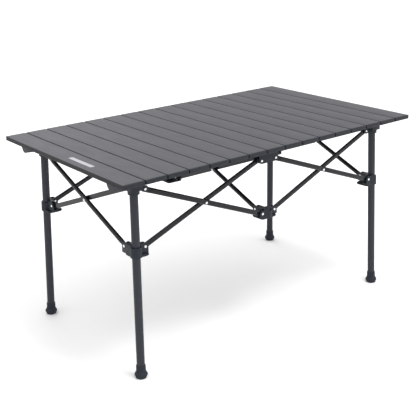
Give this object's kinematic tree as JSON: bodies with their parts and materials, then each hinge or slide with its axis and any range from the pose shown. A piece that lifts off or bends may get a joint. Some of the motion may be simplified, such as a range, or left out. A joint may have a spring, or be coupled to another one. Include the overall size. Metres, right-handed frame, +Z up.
{
  "type": "folding picnic table",
  "caption": "Folding picnic table: a slatted top that rolls up, on a scissor frame with splayed tube legs, sliding hubs and flared feet.",
  "frame": {"origin": "on the floor, under the middle of the top", "axes": "+X along the long side to the right, +Y to the back, +Z up"},
  "size_m": [0.95, 0.56, 0.512],
  "materials": {
    "slat": "satin anodised grey",
    "leg_tube": "satin charcoal powder coat",
    "bar": "black coated, satin",
    "hub_plastic": "fine-grained moulded plastic, blue-black",
    "foot": "matte"
  },
  "bodies": {
    "front_middle_top_hub": {"front_middle_top_hub": "hub_plastic"},
    "front_middle_slider": {"front_middle_slider": "hub_plastic"},
    "front_left_leg": {"front_left_leg_tube": "leg_tube", "front_left_foot": "foot", "front_left_top_hub": "hub_plastic"},
    "front_left_slider": {"front_left_slider": "hub_plastic"},
    "front_left_falling_bar": {"front_left_falling_bar": "bar"},
    "front_left_rising_bar": {"front_left_rising_bar": "bar"},
    "front_right_leg": {"front_right_leg_tube": "leg_tube", "front_right_foot": "foot", "front_right_top_hub": "hub_plastic"},
    "front_right_slider": {"front_right_slider": "hub_plastic"},
    "front_right_falling_bar": {"front_right_falling_bar": "bar"},
    "front_right_rising_bar": {"front_right_rising_bar": "bar"},
    "left_side_falling_bar": {"left_side_falling_bar": "bar"},
    "left_side_rising_bar": {"left_side_rising_bar": "bar"},
    "middle_left_falling_bar": {"middle_left_falling_bar": "bar"},
    "back_middle_slider": {"back_middle_slider": "hub_plastic"},
    "back_right_leg": {"back_right_leg_tube": "leg_tube", "back_right_foot": "foot", "back_right_top_hub": "hub_plastic"},
    "back_right_slider": {"back_right_slider": "hub_plastic"},
    "back_right_falling_bar": {"back_right_falling_bar": "bar"},
    "back_right_rising_bar": {"back_right_rising_bar": "bar"},
    "back_left_leg": {"back_left_leg_tube": "leg_tube", "back_left_foot": "foot", "back_left_top_hub": "hub_plastic"},
    "back_left_slider": {"back_left_slider": "hub_plastic"},
    "back_left_falling_bar": {"back_left_falling_bar": "bar"},
    "back_left_rising_bar": {"back_left_rising_bar": "bar"},
    "right_side_falling_bar": {"right_side_falling_bar": "bar"},
    "right_side_rising_bar": {"right_side_rising_bar": "bar"},
    "middle_right_falling_bar": {"middle_right_falling_bar": "bar"},
    "back_middle_top_hub": {"back_middle_top_hub": "hub_plastic"},
    "slat_01": {"slat_01": "slat", "back_hook": "hub_plastic", "front_hook": "hub_plastic"},
    "slat_02": {"slat_02": "slat"},
    "slat_03": {"slat_03": "slat"},
    "slat_04": {"slat_04": "slat"},
    "slat_05": {"slat_05": "slat"},
    "slat_06": {"slat_06": "slat"},
    "slat_07": {"slat_07": "slat"},
    "slat_08": {"slat_08": "slat"},
    "slat_09": {"slat_09": "slat"},
    "slat_10": {"slat_10": "slat"},
    "slat_11": {"slat_11": "slat"},
    "slat_12": {"slat_12": "slat"},
    "slat_13": {"slat_13": "slat"},
    "slat_14": {"slat_14": "slat"},
    "slat_15": {"slat_15": "slat"},
    "slat_16": {"slat_16": "slat"}
  },
  "joints": [
    {"name": "fold", "type": "hinge", "parent": "front_middle_top_hub", "child": "front_left_rising_bar", "pos_m": [-0.024, -0.20953, 0.4644], "axis": [0, -0.9995, 0.0305], "range_deg": [0, 58.5]},
    {"name": "front_left_cross", "type": "hinge", "parent": "front_left_rising_bar", "child": "front_left_falling_bar", "pos_m": [-0.20259, -0.21168, 0.39393], "axis": [0, -0.9995, 0.0305], "range_deg": [-117, 0]},
    {"name": "front_left_top_pivot", "type": "hinge", "parent": "front_left_falling_bar", "child": "front_left_leg", "pos_m": [-0.37894, -0.20936, 0.46981], "axis": [0, -0.9995, 0.0305], "range_deg": [0, 58.5]},
    {"name": "front_left_slider_pivot", "type": "hinge", "parent": "front_left_rising_bar", "child": "front_left_slider", "pos_m": [-0.38325, -0.21366, 0.32894], "axis": [0, -0.9995, 0.0305], "range_deg": [-58.5, 0]},
    {"name": "front_middle_slider_pivot", "type": "hinge", "parent": "front_left_falling_bar", "child": "front_middle_slider", "pos_m": [-0.024, -0.21383, 0.32346], "axis": [0, -0.9995, 0.0305], "range_deg": [0, 58.5]},
    {"name": "front_right_bar_pivot", "type": "hinge", "parent": "front_middle_top_hub", "child": "front_right_falling_bar", "pos_m": [0.024, -0.20953, 0.4644], "axis": [0, -0.9995, 0.0305], "range_deg": [-58.5, 0]},
    {"name": "front_right_cross", "type": "hinge", "parent": "front_right_falling_bar", "child": "front_right_rising_bar", "pos_m": [0.20259, -0.21168, 0.39393], "axis": [0, -0.9995, 0.0305], "range_deg": [0, 117]},
    {"name": "front_right_top_pivot", "type": "hinge", "parent": "front_right_rising_bar", "child": "front_right_leg", "pos_m": [0.37894, -0.20936, 0.46981], "axis": [0, -0.9995, 0.0305], "range_deg": [-58.5, 0]},
    {"name": "front_right_slider_pivot", "type": "hinge", "parent": "front_right_falling_bar", "child": "front_right_slider", "pos_m": [0.38325, -0.21366, 0.32894], "axis": [0, -0.9995, 0.0305], "range_deg": [0, 58.5]},
    {"name": "middle_bar_pivot", "type": "hinge", "parent": "front_middle_top_hub", "child": "middle_right_falling_bar", "pos_m": [0, -0.17635, 0.46338], "axis": [-1, 0, 0], "range_deg": [0, 58.5]},
    {"name": "middle_cross", "type": "hinge", "parent": "middle_right_falling_bar", "child": "middle_left_falling_bar", "pos_m": [0, 0, 0.38746], "axis": [-1, 0, 0], "range_deg": [-117, 0]},
    {"name": "back_middle_top_pivot", "type": "hinge", "parent": "middle_left_falling_bar", "child": "back_middle_top_hub", "pos_m": [0, 0.17635, 0.46338], "axis": [-1, 0, 0], "range_deg": [0, 58.5]},
    {"name": "back_middle_slider_pivot", "type": "hinge", "parent": "middle_right_falling_bar", "child": "back_middle_slider", "pos_m": [0, 0.18066, 0.32245], "axis": [-1, 0, 0], "range_deg": [-58.5, 0]},
    {"name": "left_side_bar_pivot", "type": "hinge", "parent": "front_left_leg", "child": "left_side_rising_bar", "pos_m": [-0.40346, -0.17635, 0.46955], "axis": [-0.9995, 0, 0.0305], "range_deg": [0, 58.5]},
    {"name": "left_side_cross", "type": "hinge", "parent": "left_side_rising_bar", "child": "left_side_falling_bar", "pos_m": [-0.40578, 0, 0.39367], "axis": [-0.9995, 0, 0.0305], "range_deg": [-117, 0]},
    {"name": "back_left_top_pivot", "type": "hinge", "parent": "left_side_falling_bar", "child": "back_left_leg", "pos_m": [-0.40346, 0.17635, 0.46955], "axis": [-0.9995, 0, 0.0305], "range_deg": [0, 58.5]},
    {"name": "back_left_slider_pivot", "type": "hinge", "parent": "left_side_rising_bar", "child": "back_left_slider", "pos_m": [-0.40776, 0.18066, 0.32869], "axis": [-0.9995, 0, 0.0305], "range_deg": [-58.5, 0]},
    {"name": "right_side_bar_pivot", "type": "hinge", "parent": "front_right_leg", "child": "right_side_falling_bar", "pos_m": [0.40346, -0.17635, 0.46955], "axis": [0.9995, 0, 0.0305], "range_deg": [-58.5, 0]},
    {"name": "right_side_cross", "type": "hinge", "parent": "right_side_falling_bar", "child": "right_side_rising_bar", "pos_m": [0.40578, 0, 0.39367], "axis": [0.9995, 0, 0.0305], "range_deg": [0, 117]},
    {"name": "back_right_top_pivot", "type": "hinge", "parent": "right_side_rising_bar", "child": "back_right_leg", "pos_m": [0.40346, 0.17635, 0.46955], "axis": [0.9995, 0, 0.0305], "range_deg": [-58.5, 0]},
    {"name": "back_right_slider_pivot", "type": "hinge", "parent": "right_side_falling_bar", "child": "back_right_slider", "pos_m": [0.40776, 0.18066, 0.32869], "axis": [0.9995, 0, 0.0305], "range_deg": [0, 58.5]},
    {"name": "back_right_bar_pivot", "type": "hinge", "parent": "back_middle_top_hub", "child": "back_right_rising_bar", "pos_m": [0.024, 0.20953, 0.4644], "axis": [0, 0.9995, 0.0305], "range_deg": [0, 58.5]},
    {"name": "back_right_cross", "type": "hinge", "parent": "back_right_rising_bar", "child": "back_right_falling_bar", "pos_m": [0.20259, 0.21168, 0.39393], "axis": [0, 0.9995, 0.0305], "range_deg": [-117, 0]},
    {"name": "back_left_bar_pivot", "type": "hinge", "parent": "back_middle_top_hub", "child": "back_left_falling_bar", "pos_m": [-0.024, 0.20953, 0.4644], "axis": [0, 0.9995, 0.0305], "range_deg": [-58.5, 0]},
    {"name": "back_left_cross", "type": "hinge", "parent": "back_left_falling_bar", "child": "back_left_rising_bar", "pos_m": [-0.20259, 0.21168, 0.39393], "axis": [0, 0.9995, 0.0305], "range_deg": [0, 117]},
    {"name": "top_lift", "type": "slide", "parent": "front_middle_top_hub", "child": "slat_01", "axis": [0, 0, 1], "range_m": [0, 0.15]},
    {"name": "seam_01", "type": "hinge", "parent": "slat_01", "child": "slat_02", "pos_m": [-0.4165, 0, 0.512], "axis": [0, -1, 0], "range_deg": [0, 44.2]},
    {"name": "seam_02", "type": "hinge", "parent": "slat_02", "child": "slat_03", "pos_m": [-0.357, 0, 0.512], "axis": [0, -1, 0], "range_deg": [0, 45.4]},
    {"name": "seam_03", "type": "hinge", "parent": "slat_03", "child": "slat_04", "pos_m": [-0.2975, 0, 0.512], "axis": [0, -1, 0], "range_deg": [0, 46.9]},
    {"name": "seam_04", "type": "hinge", "parent": "slat_04", "child": "slat_05", "pos_m": [-0.238, 0, 0.512], "axis": [0, -1, 0], "range_deg": [0, 48.4]},
    {"name": "seam_05", "type": "hinge", "parent": "slat_05", "child": "slat_06", "pos_m": [-0.1785, 0, 0.512], "axis": [0, -1, 0], "range_deg": [0, 50.1]},
    {"name": "seam_06", "type": "hinge", "parent": "slat_06", "child": "slat_07", "pos_m": [-0.119, 0, 0.512], "axis": [0, -1, 0], "range_deg": [0, 52]},
    {"name": "seam_07", "type": "hinge", "parent": "slat_07", "child": "slat_08", "pos_m": [-0.0595, 0, 0.512], "axis": [0, -1, 0], "range_deg": [0, 54.2]},
    {"name": "seam_08", "type": "hinge", "parent": "slat_08", "child": "slat_09", "pos_m": [0, 0, 0.512], "axis": [0, -1, 0], "range_deg": [0, 56.6]},
    {"name": "seam_09", "type": "hinge", "parent": "slat_09", "child": "slat_10", "pos_m": [0.0595, 0, 0.512], "axis": [0, -1, 0], "range_deg": [0, 59.5]},
    {"name": "seam_10", "type": "hinge", "parent": "slat_10", "child": "slat_11", "pos_m": [0.119, 0, 0.512], "axis": [0, -1, 0], "range_deg": [0, 62.8]},
    {"name": "seam_11", "type": "hinge", "parent": "slat_11", "child": "slat_12", "pos_m": [0.1785, 0, 0.512], "axis": [0, -1, 0], "range_deg": [0, 66.8]},
    {"name": "seam_12", "type": "hinge", "parent": "slat_12", "child": "slat_13", "pos_m": [0.238, 0, 0.512], "axis": [0, -1, 0], "range_deg": [0, 71.8]},
    {"name": "seam_13", "type": "hinge", "parent": "slat_13", "child": "slat_14", "pos_m": [0.2975, 0, 0.512], "axis": [0, -1, 0], "range_deg": [0, 78.2]},
    {"name": "seam_14", "type": "hinge", "parent": "slat_14", "child": "slat_15", "pos_m": [0.357, 0, 0.512], "axis": [0, -1, 0], "range_deg": [0, 86.9]},
    {"name": "top_roll", "type": "hinge", "parent": "slat_15", "child": "slat_16", "pos_m": [0.4165, 0, 0.512], "axis": [0, -1, 0], "range_deg": [0, 100.2]}
  ],
  "couplings": [
    {"joint": "front_left_cross", "follows": "fold", "ratio": -2},
    {"joint": "front_left_top_pivot", "follows": "fold", "ratio": 1},
    {"joint": "front_left_slider_pivot", "follows": "fold", "ratio": -1},
    {"joint": "front_middle_slider_pivot", "follows": "fold", "ratio": 1},
    {"joint": "front_right_bar_pivot", "follows": "fold", "ratio": -1},
    {"joint": "front_right_cross", "follows": "fold", "ratio": 2},
    {"joint": "front_right_top_pivot", "follows": "fold", "ratio": -1},
    {"joint": "front_right_slider_pivot", "follows": "fold", "ratio": 1},
    {"joint": "middle_bar_pivot", "follows": "fold", "ratio": 1},
    {"joint": "middle_cross", "follows": "fold", "ratio": -2},
    {"joint": "back_middle_top_pivot", "follows": "fold", "ratio": 1},
    {"joint": "back_middle_slider_pivot", "follows": "fold", "ratio": -1},
    {"joint": "left_side_bar_pivot", "follows": "fold", "ratio": 1},
    {"joint": "left_side_cross", "follows": "fold", "ratio": -2},
    {"joint": "back_left_top_pivot", "follows": "fold", "ratio": 1},
    {"joint": "back_left_slider_pivot", "follows": "fold", "ratio": -1},
    {"joint": "right_side_bar_pivot", "follows": "fold", "ratio": -1},
    {"joint": "right_side_cross", "follows": "fold", "ratio": 2},
    {"joint": "back_right_top_pivot", "follows": "fold", "ratio": -1},
    {"joint": "back_right_slider_pivot", "follows": "fold", "ratio": 1},
    {"joint": "back_right_bar_pivot", "follows": "fold", "ratio": 1},
    {"joint": "back_right_cross", "follows": "fold", "ratio": -2},
    {"joint": "back_left_bar_pivot", "follows": "fold", "ratio": -1},
    {"joint": "back_left_cross", "follows": "fold", "ratio": 2},
    {"joint": "seam_01", "follows": "top_roll", "ratio": 0.4411},
    {"joint": "seam_02", "follows": "top_roll", "ratio": 0.4531},
    {"joint": "seam_03", "follows": "top_roll", "ratio": 0.4681},
    {"joint": "seam_04", "follows": "top_roll", "ratio": 0.483},
    {"joint": "seam_05", "follows": "top_roll", "ratio": 0.5},
    {"joint": "seam_06", "follows": "top_roll", "ratio": 0.519},
    {"joint": "seam_07", "follows": "top_roll", "ratio": 0.5409},
    {"joint": "seam_08", "follows": "top_roll", "ratio": 0.5649},
    {"joint": "seam_09", "follows": "top_roll", "ratio": 0.5938},
    {"joint": "seam_10", "follows": "top_roll", "ratio": 0.6267},
    {"joint": "seam_11", "follows": "top_roll", "ratio": 0.6667},
    {"joint": "seam_12", "follows": "top_roll", "ratio": 0.7166},
    {"joint": "seam_13", "follows": "top_roll", "ratio": 0.7804},
    {"joint": "seam_14", "follows": "top_roll", "ratio": 0.8673}
  ]
}
